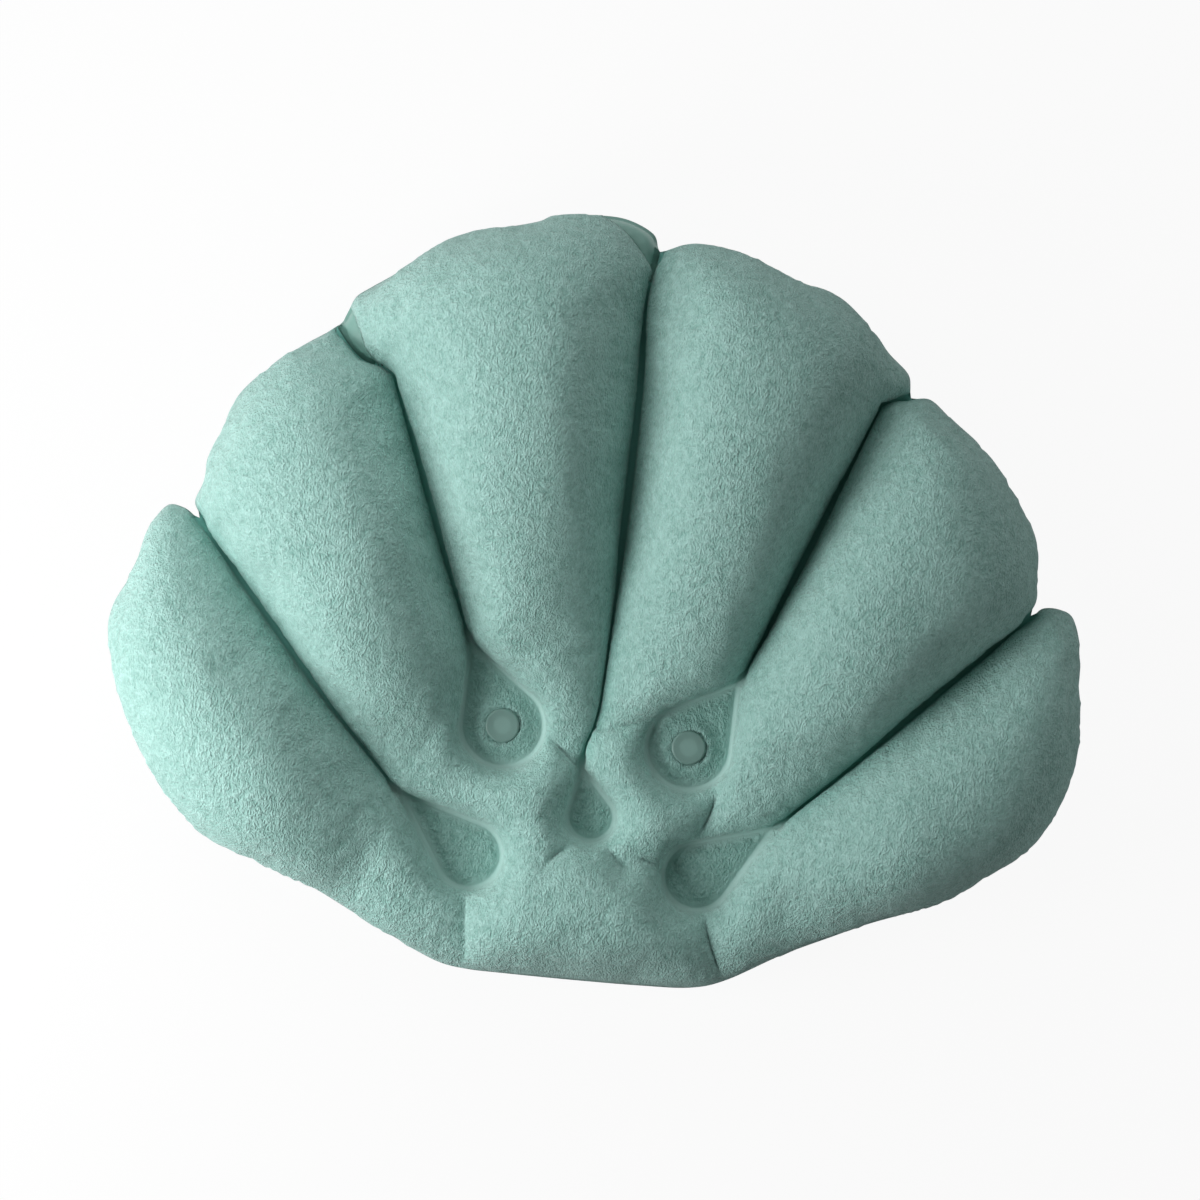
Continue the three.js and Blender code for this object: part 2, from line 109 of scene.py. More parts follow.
# The rim from notch to notch, counterclockwise from the left notch round the hub, then one list for each lobe
fan = {
    "rim": [
        [(-161.5, 158), (-167, 161.5), (-174.5, 161.5), (-181, 151), (-185, 134.5), (-191, 117.5),
         (-189.5, 102.5), (-185, 88.5), (-177.5, 72.5), (-165.5, 54.5), (-146.5, 37), (-129, 30), (-104, 21),
         (-84, 11.5), (-65, 3), (-49.5, -3), (-39, -4.5), (-26, -4.5), (0, -4), (28.5, -3), (48, -1.5),
         (61.5, 3), (81.5, 15), (99.5, 24.5), (114, 32), (141, 44), (156.5, 56), (169, 66.5), (177.5, 80),
         (183.5, 97), (185, 114.5), (183.5, 128), (181.5, 148), (177.5, 159.5), (171, 162.5), (164.5, 162),
         (161, 158.5)],
        [(161, 158.5), (163, 164), (162, 171.5), (160.5, 184), (155.5, 194.5), (146, 208), (135, 220),
         (122.5, 229.5), (113, 236.5), (105.5, 236)],
        [(105.5, 236), (104, 244.5), (95.5, 252), (86.5, 261), (72.5, 271.5), (56.5, 276), (42, 281.5),
         (27, 285), (13, 285), (3, 280.5)],
        [(3, 280.5), (0, 287), (-10.5, 291.5), (-22, 292), (-39, 290), (-45, 287), (-54.5, 284),
         (-67.5, 280.5), (-83, 273), (-97, 261), (-106.5, 254), (-112, 249.5), (-114.5, 243.5), (-116, 239.5)],
        [(-116, 239.5), (-119.5, 236), (-131.5, 227.5), (-144, 216), (-153, 204.5), (-157, 192.5),
         (-161, 182), (-162, 172), (-164.5, 163.5), (-161.5, 158)],
    ],
    "seamInset": 1.0,
}

# Each weld: a teardrop island and the groove that runs from its tip to the rim
welds = [
    {"centre": (-43.3, 40.6), "radius": 13.2, "tip": (-73.5, 62.3),
     "groove": [(-73.5, 62.3), (-116, 107), (-161.5, 158)]},
    {"centre": (-36.2, 91.7), "radius": 16.4, "tip": (-52.4, 123),
     "groove": [(-52.4, 123), (-72.5, 171), (-90, 213), (-95, 221.7), (-104.7, 224.6), (-110.3, 228.5),
                (-116, 235), (-118, 237.5)]},
    {"centre": (1.9, 60.5), "radius": 9.4, "tip": (-4.2, 80),
     "groove": [(-4.2, 80), (-3, 89), (-0.8, 97), (0.6, 112), (1.3, 165), (1.2, 222), (-0.2, 260), (3, 280.5)]},
    {"centre": (36.2, 91.7), "radius": 16.6, "tip": (52.7, 119.3),
     "groove": [(52.7, 119.3), (73, 173), (92, 226), (95, 231.5), (105.5, 236)]},
    {"centre": (45.2, 42.8), "radius": 13.4, "tip": (73.1, 65.5),
     "groove": [(73.1, 65.5), (115.5, 110), (161, 158.5)]},
]
weldStyle = {"band": 2.4, "groove": 1.2, "pressed": 0.35, "outerFade": (0.25, -0.3), "innerFade": (-0.4, 0.3)}

# Creases where the blown-up lobes press against each other: the line, and how hard it ties the face down
creases = [
    {"line": [(-21, 91.4), (-13, 85.5), (-6.5, 79)], "tie": 2.2},
    {"line": [(-0.2, 93.6), (6, 95.4), (16.3, 99.4), (22, 101.5)], "tie": 1.5},
    {"line": [(-13.6, 41.6), (-9, 46), (-4.1, 49.3)], "tie": 0.35},
    {"line": [(9.5, 50), (15, 44.5), (19.9, 43.2)], "tie": 0.5},
    {"line": [(21.5, 48.2), (27, 46.2), (33, 44.5)], "tie": 0.5},
    {"line": [(48.5, 80), (48.4, 74), (47.4, 68), (43.5, 58.5)], "tie": 1.4},
    {"line": [(-42.5, 28), (-42, 18), (-40.5, 8), (-39.5, -1.5)], "tie": 0.4},
    {"line": [(49.5, 30), (51.5, 22), (55, 13.5), (59.3, 5.7)], "tie": 0.6},
]

# Edges of the terry at the crest and at the left shoulder, where the back sheet comes round to the front
bare = {
    "crestEdge": [(-25, 293.5), (-22.5, 291), (-15, 287.5), (-9.5, 283), (-5, 278), (-1.5, 273), (0, 268)],
    "crestOutside": [(1.1, 268.0), (3.2, 280.5), (6.0, 285.0), (6.0, 299.0), (-25.0, 299.0)],
    "shoulderEdge": [(-96.5, 223.5), (-103.4, 228.6), (-107.4, 236.3), (-114, 246.5)],
    "shoulderOutside": [(-121, 244), (-118, 237.5), (-116, 235), (-110.3, 228.5), (-104.7, 224.6)],
    "tie": 0.5,
}

# Spacing of the points in the plan, and how near to each other they may come
net = {
    "rimStep": 1.5,
    "islandStep": 1.35,
    "creaseStep": 1.0,
    "fieldStep": 2.1,
    "rows": (0, 0.8, 1.7, 2.8, 4.1),
    "creaseRows": (0, 1.0, -1.0, 2.2, -2.2),
    "holeRows": (0.0, 0.8),
    "gaps": {"hole": 0.3, "crease": 0.7, "row": 0.62, "field": 0.95},
    "creaseClear": 0.5,
    "rowTolerance": 0.12,
    "cell": 4,
    "curveSteps": 12,
}

seam = {"height": 21, "lift": 9.5, "liftStart": 128, "liftEnd": 215, "sideLead": 1.6}
sheets = {"frontFullness": 0.91, "backFullness": 0.68, "frontStack": 2.55, "backStack": 0.75, "rimClose": 0.85,
          "rimReach": 3.0, "weldClear": (0.5, 4), "terry": 1.6, "lining": 0.5, "back": 0.6, "liningDepth": 1.9,
          "turnDepth": 1.1, "lowest": 0.3}


def smoothLine(points, step):
    # Catmull-Rom through the points, at an even step
    p = np.array(points, float)
    p = np.vstack([2 * p[0] - p[1], p, 2 * p[-1] - p[-2]])
    line = []
    for a, b, c, d in zip(p, p[1:], p[2:], p[3:]):
        for t in np.linspace(0, 1, net["curveSteps"], endpoint=False):
            line.append(0.5 * (2 * b + (c - a) * t + (2 * a - 5 * b + 4 * c - d) * t ** 2
                               + (3 * b - a - 3 * c + d) * t ** 3))
    line.append(p[-2])
    line = np.array(line)
    along = np.concatenate([[0], np.cumsum(np.linalg.norm(np.diff(line, axis=0), axis=1))])
    count = max(2, int(round(along[-1] / step)) + 1)
    even = np.linspace(0, along[-1], count)
    return np.column_stack([np.interp(even, along, line[:, k]) for k in range(2)])


def nearestOnLine(points, line):
    # The nearest point of an open line to each point, and its distance
    best = np.full(len(points), 1e9)
    nearest = np.zeros((len(points), 2))
    for a, b in zip(line, line[1:]):
        d = b - a
        t = np.clip(((points - a) @ d) / max(d @ d, 1e-12), 0, 1)
        spot = a + t[:, None] * d
        far = np.linalg.norm(points - spot, axis=1)
        closer = far < best
        best[closer] = far[closer]
        nearest[closer] = spot[closer]
    return nearest, best


def lineDistance(points, line):
    return nearestOnLine(points, line)[1]


def insideOf(points, loop):
    inside = np.zeros(len(points), bool)
    x, y = points[:, 0], points[:, 1]
    for a, b in zip(loop, np.roll(loop, -1, axis=0)):
        crosses = (a[1] > y) != (b[1] > y)
        if a[1] != b[1]:
            inside ^= crosses & (x < (b[0] - a[0]) * (y - a[1]) / (b[1] - a[1]) + a[0])
    return inside


def teardrop(weld):
    # Its centre, tip and length, the directions to the tip and to the right of it, and its flank's cosine and sine
    centre, tip = np.array(weld["centre"]), np.array(weld["tip"])
    length = np.linalg.norm(tip - centre)
    up = (tip - centre) / length
    b = weld["radius"] / length
    return centre, tip, length, up, np.array([up[1], -up[0]]), math.sqrt(1 - b * b), b


def islandDistance(points, weld):
    # Distance to the teardrop's edge, negative inside: a disc that tapers to the tip
    centre, _, length, up, right, a, b = teardrop(weld)
    local = np.column_stack([np.abs((points - centre) @ right), (points - centre) @ up])
    k = local @ np.array([-b, a])
    disc = np.linalg.norm(local, axis=1) - weld["radius"]
    point = np.linalg.norm(local - np.array([0, length]), axis=1)
    side = local @ np.array([a, b]) - weld["radius"]
    return np.where(k < 0, disc, np.where(k > a * length, point, side))


def islandRow(weld, offset, step):
    # Points at one distance from the teardrop's edge
    centre, tip, _, up, right, a, b = teardrop(weld)
    radius = weld["radius"] + offset
    if radius < step:
        return np.zeros((0, 2))
    lean = math.asin(b)
    turns = np.linspace(lean, -math.pi - lean, max(6, int(radius * (math.pi + 2 * lean) / step)))
    arc = centre + radius * (np.cos(turns)[:, None] * right + np.sin(turns)[:, None] * up)
    parts = [arc]
    for side in (1, -1):
        out = side * a * right + b * up
        start, end = centre + radius * out, tip + offset * out
        count = max(2, int(np.linalg.norm(end - start) / step))
        parts.append(start + np.linspace(0, 1, count)[1:, None] * (end - start))
    return np.vstack(parts)


def sideways(line):
    # Directions across the line, to its left
    d = np.gradient(line, axis=0)
    d /= np.linalg.norm(d, axis=1)[:, None]
    return np.column_stack([-d[:, 1], d[:, 0]])


def sideRows(line, offset):
    return line + offset * sideways(line)


def insetLoop(loop, inset):
    d = np.roll(loop, -1, axis=0) - np.roll(loop, 1, axis=0)
    d /= np.linalg.norm(d, axis=1)[:, None]
    return loop + inset * np.column_stack([-d[:, 1], d[:, 0]])


rimParts = [smoothLine(part, net["rimStep"]) for part in fan["rim"]]
rimLoop = insetLoop(np.vstack([part[:-1] for part in rimParts]), fan["seamInset"])
grooveLines = [smoothLine(weld["groove"], net["rimStep"]) for weld in welds]
creaseLines = [smoothLine(crease["line"], net["creaseStep"]) for crease in creases]
crestLine = smoothLine(bare["crestEdge"], net["creaseStep"])
shoulderLine = smoothLine(bare["shoulderEdge"], net["creaseStep"])


def weldDistance(points):
    best = np.full(len(points), 1e9)
    for weld in welds:
        best = np.minimum(best, islandDistance(points, weld))
    for line in grooveLines:
        best = np.minimum(best, lineDistance(points, line) - weldStyle["groove"])
    return best


def rimDistance(points):
    return lineDistance(points, np.vstack([rimLoop, rimLoop[:1]]))


# Round holes: the cups' necks pass through both sheets, the valve sits in the back sheet
holes = {
    "cups": [{"centre": planCentre("suction_cup_" + side), "radius": 3.75} for side in ("left", "right")],
    "valve": {"centre": planCentre("valve_neck"), "radius": 11.0},
    "steps": 40,
}


def circlePoints(hole, extra=0.0):
    turns = np.linspace(0, math.tau, holes["steps"], endpoint=False)
    return hole["centre"] + (hole["radius"] + extra) * np.column_stack([np.cos(turns), np.sin(turns)])


def planPoints():
    # Rows along the rim, the welds, the creases and the holes, then an even field between them
    kept, cells = [], {}

    def addAll(points, gap):
        for p in points:
            cell = (int(p[0] // net["cell"]), int(p[1] // net["cell"]))
            around = [(cell[0] + i, cell[1] + j) for i in (-1, 0, 1) for j in (-1, 0, 1)]
            near = [q for key in around for q in cells.get(key, ())]
            if all((p[0] - q[0]) ** 2 + (p[1] - q[1]) ** 2 > gap * gap for q in near):
                cells.setdefault(cell, []).append(p)
                kept.append(p)

    addAll(rimLoop, 0.0)
    for hole in holes["cups"] + [holes["valve"]]:
        for extra in net["holeRows"]:
            addAll(circlePoints(hole, extra), net["gaps"]["hole"])
    for line in creaseLines + [crestLine, shoulderLine]:
        for offset in net["creaseRows"]:
            points = sideRows(line, offset)
            edge = np.minimum(weldDistance(points), rimDistance(points))
            addAll(points[insideOf(points, rimLoop) & (edge > net["creaseClear"])], net["gaps"]["crease"])
    rows = []
    for offset in net["rows"][1:]:
        rows.append((insetLoop(rimLoop, offset), offset))
    for weld in welds:
        for offset in (-weldStyle["band"], -weldStyle["groove"]) + net["rows"]:
            rows.append((islandRow(weld, offset, net["islandStep"]), offset))
    for line in grooveLines:
        rows.append((line, -weldStyle["groove"]))
        for offset in net["rows"]:
            for side in (1, -1):
                rows.append((sideRows(line, side * (weldStyle["groove"] + offset)), offset))
    for points, offset in rows:
        if not len(points):
            continue
        points = points[insideOf(points, rimLoop)]
        nearest = np.minimum(rimDistance(points), weldDistance(points))
        addAll(points[np.abs(nearest - offset) < net["rowTolerance"]], net["gaps"]["row"])
    step = net["fieldStep"]
    low, high = rimLoop.min(axis=0), rimLoop.max(axis=0)
    ys = np.arange(low[1], high[1], step * math.sqrt(3) / 2)
    field = []
    for k, y in enumerate(ys):
        xs = np.arange(low[0] + (k % 2) * step / 2, high[0], step)
        field.append(np.column_stack([xs, np.full(len(xs), y)]))
    field = np.vstack(field)
    field = field[insideOf(field, rimLoop)]
    nearest = np.minimum(rimDistance(field), weldDistance(field))
    apart = (nearest > net["rows"][-1] + 0.6 * step) | (nearest < -weldStyle["band"] - 0.5 * step)
    addAll(field[apart], net["gaps"]["field"])
    return np.array(kept)


def planMesh():
    points = planPoints()
    count = len(rimLoop)
    found = delaunay_2d_cdt([Vector(p) for p in points], [], [list(range(count))], 1, 1e-5)
    verts = np.array([tuple(v) for v in found[0]])
    triangles = np.array([face for face in found[2] if len(face) == 3])
    used = np.unique(triangles)
    return verts[used], np.searchsorted(used, triangles)


film = {"steps": 900, "leastWeight": 0.02, "mostWeight": 20, "tolerance": 1e-10, "tieEnds": 0.04}


def relaxedFilm(verts, triangles, pinned, ties):
    # Soap film under an even load: solved by conjugate gradients on cotangent weights
    a, b, c = (verts[triangles[:, k]] for k in range(3))
    area = 0.5 * np.abs(np.cross(b - a, c - a))
    load = np.zeros(len(verts))
    starts, ends, weights = [], [], []
    for k in range(3):
        i, j, o = triangles[:, k], triangles[:, (k + 1) % 3], triangles[:, (k + 2) % 3]
        u, v = verts[i] - verts[o], verts[j] - verts[o]
        weights.append(0.5 * (u * v).sum(axis=1) / np.maximum(2 * area, 1e-9))
        starts.append(i)
        ends.append(j)
        load += np.bincount(i, area / 3, len(verts))
    i, j = np.concatenate(starts), np.concatenate(ends)
    w = np.clip(np.concatenate(weights), film["leastWeight"], film["mostWeight"])
    diagonal = np.bincount(i, w, len(verts)) + np.bincount(j, w, len(verts)) + ties
    free = ~pinned

    def pull(x):
        return diagonal * x - np.bincount(i, w * x[j], len(verts)) - np.bincount(j, w * x[i], len(verts))

    x = np.zeros(len(verts))
    r = np.where(free, load, 0)
    z = r / diagonal
    p = z.copy()
    rz = r @ z
    for _ in range(film["steps"]):
        q = np.where(free, pull(p), 0)
        step = rz / (p @ q)
        x += step * p
        r -= step * q
        z = r / diagonal
        fresh = r @ z
        if fresh < film["tolerance"] * len(verts):
            break
        p = z + fresh / rz * p
        rz = fresh
    return np.maximum(x, 0)


def creaseTies(verts):
    # Each crease ties its points down, less towards its ends
    ties = np.zeros(len(verts))
    lines = [(line, crease["tie"]) for line, crease in zip(creaseLines, creases)]
    lines += [(crestLine, bare["tie"]), (shoulderLine, bare["tie"])]
    for line, tie in lines:
        on = lineDistance(verts, line) < 0.05
        nearest = np.linalg.norm(verts[:, None] - line[None, ::4], axis=2).argmin(axis=1)
        along = np.clip(nearest * 4 / max(1, len(line) - 1), film["tieEnds"], 1 - film["tieEnds"])
        ties += np.where(on, tie * net["creaseStep"] * np.sqrt(np.clip(np.sin(math.pi * along), 0, 1)), 0)
    return ties


plan, planTriangles = planMesh()
nearWeld = weldDistance(plan)
nearRim = rimDistance(plan)
pinned = (nearWeld < 0.05) | (nearRim < 0.01)
ties = creaseTies(plan)
frontRise = np.sqrt(2 * relaxedFilm(plan, planTriangles, pinned, ties))
backRise = np.sqrt(2 * relaxedFilm(plan, planTriangles, pinned, 0 * ties))
print("plan", len(plan), "points", len(planTriangles), "triangles, rise", frontRise.max())


def smoothStep(low, high, x):
    t = np.clip((x - low) / (high - low), 0, 1)
    return t * t * (3 - 2 * t)


reach = np.hypot(plan[:, 0] * seam["sideLead"], plan[:, 1])
seamHeight = seam["height"] + seam["lift"] * smoothStep(seam["liftStart"], seam["liftEnd"], reach)
# The sheets close up towards the rim, clear of the grooves, where they lie flat on each other
closing = (1 - smoothStep(0, sheets["rimReach"], nearRim)) * smoothStep(*sheets["weldClear"], nearWeld)
openness = 1 - sheets["rimClose"] * closing


def meshObject(name, points, triangles):
    mesh = bpy.data.meshes.new(name)
    mesh.from_pydata(points.tolist(), [], triangles.tolist())
    mesh.polygons.foreach_set("use_smooth", [True] * len(mesh.polygons))
    mesh.update()
    return addObject(name, mesh)


def addValues(obj, name, values):
    attribute = obj.data.attributes.new(name, "FLOAT", "POINT")
    attribute.data.foreach_set("value", np.asarray(values, np.float32))


def solidify(obj, thickness):
    modifier = obj.modifiers.new("thickness", "SOLIDIFY")
    modifier.thickness = thickness * mm
    modifier.offset = -1


# Flanks lean over their grooves, as lobes do that press against each other
tuck = {"shift": 1.7, "spread": 6.0, "gap": 0.35, "islandFade": (0, 7.0), "rimFade": (0.5, 8.0), "start": 0.3,
        "reach": 16.0}


def tuckFlanks(flat):
    moved = flat.copy()
    for weld, line in zip(welds, grooveLines):
        spot, far = nearestOnLine(flat, line)
        lean = np.maximum(far - weldStyle["groove"], 0)
        fade = smoothStep(*tuck["islandFade"], islandDistance(flat, weld)) * smoothStep(*tuck["rimFade"], nearRim)
        shift = np.minimum(tuck["shift"] * np.exp(-lean / tuck["spread"]), np.maximum(far - tuck["gap"], 0))
        shift = shift * fade * (lean > tuck["start"])
        moved += shift[:, None] * (spot - flat) / np.maximum(far, 1e-6)[:, None]
    return moved


def keepToTheirSide(points):
    # No flank passes the middle of its groove
    flat = np.column_stack([points[:, 0] / mm, (points[:, 1] - hubEdgeY) / mm])
    for line in grooveLines:
        spot, far = nearestOnLine(plan, line)
        out = (plan - spot) / np.maximum(far, 1e-6)[:, None]
        side = ((flat - spot) * out).sum(axis=1)
        push = np.maximum(np.minimum(tuck["gap"], far) - side, 0)
        flat += np.where((far < tuck["reach"]) & (far > 0.01), push, 0)[:, None] * out
    points[:, 0] = flat[:, 0] * mm
    points[:, 1] = flat[:, 1] * mm + hubEdgeY
    return points


cloth = {"frames": 20, "quality": 6, "mass": 0.15, "damping": 4, "pressure": 30, "slack": 0.05, "tension": 15,
         "bending": 0.05, "cap": 7, "smoothings": 24, "wrinkles": 0.3, "backStrength": 0.6, "heldTie": 0.3}


def smoothedOver(triangles, values, held, rounds):
    # Averages each point's values with its neighbours', round after round
    a = np.concatenate([triangles[:, 0], triangles[:, 1], triangles[:, 2]])
    b = np.concatenate([triangles[:, 1], triangles[:, 2], triangles[:, 0]])
    count = len(values)
    near = np.bincount(a, minlength=count) + np.bincount(b, minlength=count)
    for _ in range(rounds):
        total = np.zeros_like(values)
        for k in range(values.shape[1]):
            total[:, k] = np.bincount(a, values[b, k], count) + np.bincount(b, values[a, k], count)
        mean = total / np.maximum(near, 1)[:, None]
        values = np.where(held[:, None], values, 0.5 * (values + mean))
    return values


def blownUp(name, points, triangles, held, strength=1.0):
    # Blows a sheet up against its welds for a few frames and gives back the shape that it takes
    scene = bpy.context.scene
    obj = meshObject(name, points, triangles)
    group = obj.vertex_groups.new(name="welds")
    group.add(np.flatnonzero(held).tolist(), 1.0, "REPLACE")
    modifier = obj.modifiers.new("cloth", "CLOTH")
    settings = modifier.settings
    settings.quality = cloth["quality"]
    settings.mass = cloth["mass"]
    settings.tension_stiffness = cloth["tension"]
    settings.compression_stiffness = cloth["tension"]
    settings.shear_stiffness = cloth["tension"] / 2
    settings.bending_stiffness = cloth["bending"]
    settings.air_damping = cloth["damping"]
    settings.vertex_group_mass = "welds"
    settings.use_pressure = True
    settings.uniform_pressure_force = cloth["pressure"] * strength
    settings.shrink_min = -cloth["slack"] * strength
    settings.effector_weights.gravity = 0
    modifier.collision_settings.use_collision = False
    modifier.point_cache.frame_start = 1
    modifier.point_cache.frame_end = cloth["frames"]
    for number in range(1, cloth["frames"] + 1):
        scene.frame_set(number)
    shaped = obj.evaluated_get(bpy.context.evaluated_depsgraph_get()).data
    ends = np.zeros(len(points) * 3)
    shaped.vertices.foreach_get("co", ends)
    bpy.data.objects.remove(obj)
    scene.frame_set(1)
    move = ends.reshape(-1, 3) - points
    broad = smoothedOver(triangles, move, held, cloth["smoothings"])
    move = broad + cloth["wrinkles"] * (move - broad)
    far = np.linalg.norm(move, axis=1)
    print(name, "moved", round(far.mean() / mm, 2), "mm, at most", round(far.max() / mm, 2))
    return points + move * np.minimum(1, cloth["cap"] * mm / np.maximum(far, 1e-9))[:, None]


def pointNormals(points, triangles):
    a, b, c = (points[triangles[:, k]] for k in range(3))
    across = np.cross(b - a, c - a)
    normals = np.zeros_like(points)
    for k in range(3):
        for axis in range(3):
            normals[:, axis] += np.bincount(triangles[:, k], across[:, axis], len(points))
    return normals / np.maximum(np.linalg.norm(normals, axis=1), 1e-12)[:, None]


uneven = {"fine": 0.16, "fineSize": 5.0, "broad": 0.55, "broadSize": 26.0, "seed": 3.7, "clear": 6}


def unevenness():
    values = np.zeros(len(plan))
    for n, (x, y) in enumerate(plan):
        fine = noise.noise(Vector((x, y, uneven["seed"])) / uneven["fineSize"])
        broad = noise.noise(Vector((x, y, uneven["seed"])) / uneven["broadSize"])
        values[n] = uneven["fine"] * fine + uneven["broad"] * broad
    return values * smoothStep(0, uneven["clear"], np.minimum(nearWeld, nearRim))


# The pile stands up round the heads of the cups' studs
pileRing = {"rise": (6.2, 7.0), "fall": (7.6, 12.5), "height": 1.9}
centres = plan[planTriangles].mean(axis=1)
crestLoop = np.vstack([crestLine, bare["crestOutside"]])
shoulderLoop = np.vstack([shoulderLine, bare["shoulderOutside"]])
isBare = insideOf(centres, crestLoop) | insideOf(centres, shoulderLoop)


def outsideHoles(which):
    keep = np.ones(len(planTriangles), bool)
    for hole in which:
        keep &= np.linalg.norm(centres - hole["centre"], axis=1) > hole["radius"] * 0.99
    return keep


def frontShape():
    pressed = smoothStep(*weldStyle["outerFade"], nearWeld)
    pressed *= smoothStep(*(fade - weldStyle["band"] for fade in weldStyle["innerFade"]), nearWeld)
    inGroove = nearWeld > -weldStyle["groove"] - 0.01
    pressed = np.where(inGroove & (nearWeld < 0.05), 1.0, pressed)
    face = seamHeight + openness * sheets["frontStack"] + sheets["frontFullness"] * frontRise
    face -= weldStyle["pressed"] * pressed
    for hole in holes["cups"]:
        away = np.linalg.norm(plan - hole["centre"], axis=1)
        ring = smoothStep(*pileRing["rise"], away) * (1 - smoothStep(*pileRing["fall"], away))
        face += pileRing["height"] * ring
    points = toRow(tuckFlanks(plan), face)
    points = blownUp("front", points, planTriangles, pinned | (ties > cloth["heldTie"]))
    points = keepToTheirSide(points)
    points += pointNormals(points, planTriangles) * unevenness()[:, None] * mm
    return points, pressed


def backShape():
    under = seamHeight - openness * sheets["backStack"] - sheets["backFullness"] * backRise
    flipped = planTriangles[:, ::-1]
    points = blownUp("back", toRow(plan, under), flipped, pinned, cloth["backStrength"])
    points[:, 2] = np.maximum(points[:, 2], sheets["lowest"] * mm)
    return points


def addNode(tree, kind, settings=None, **inputs):
    # An input is given by its name, or as i and its number
    node = tree.nodes.new(kind)
    for key, value in (settings or {}).items():
        setattr(node, key, value)
    for key, value in inputs.items():
        numbered = key[0] == "i" and key[1:].isdigit()
        socket = node.inputs[int(key[1:]) if numbered else key.replace("_", " ")]
        if isinstance(value, bpy.types.NodeSocket):
            tree.links.new(value, socket)
        else:
            socket.default_value = value
    return node


def newMaterial(name):
    material = bpy.data.materials.new(name)
    material.use_nodes = True
    tree = material.node_tree
    tree.nodes.clear()
    output = tree.nodes.new("ShaderNodeOutputMaterial")
    return material, tree, output


terry = {
    "colour": (0.50, 0.80, 0.74, 1),
    "shade": (0.25, 0.50, 0.44, 1),
    "pressed": (0.45, 0.68, 0.63, 1),
    # deep: painted shade, a darker green mixed in along the grooves where shade falls
    "deep": (0.14, 0.48, 0.41, 1),
    # island: painted shade, a multiply that darkens the islands' insides, which lie in shade between the lobes
    "island": (0.80, 0.84, 0.83, 1),
    "loop": 0.72,
    "loopLength": 1.1,
    "clump": 3.0,
    "clumpTone": 0.7,
    "clumpShare": 0.9,
    "loopHeight": 1.9,
    "bump": 0.8,
    "pressedPile": 0.1,
    "grain": (0.6, 1.1),
    "patchScale": 70.0,
    "patches": (0.3, 0.7),
    "patchShare": 0.3,
    "roughness": 0.95,
    "sheen": 0.35,
    "sheenRoughness": 0.5,
    "specular": 0.1,
    # How far in from the band the painted island shade takes to reach full strength
    "islandFade": 1.2,
    # Strength, reach and fade of the painted shade along the grooves
    "paintedGrooveShade": 0.8,
    "grooveShadeReach": 1.6,
    "grooveShadeFade": (1, 7),
}


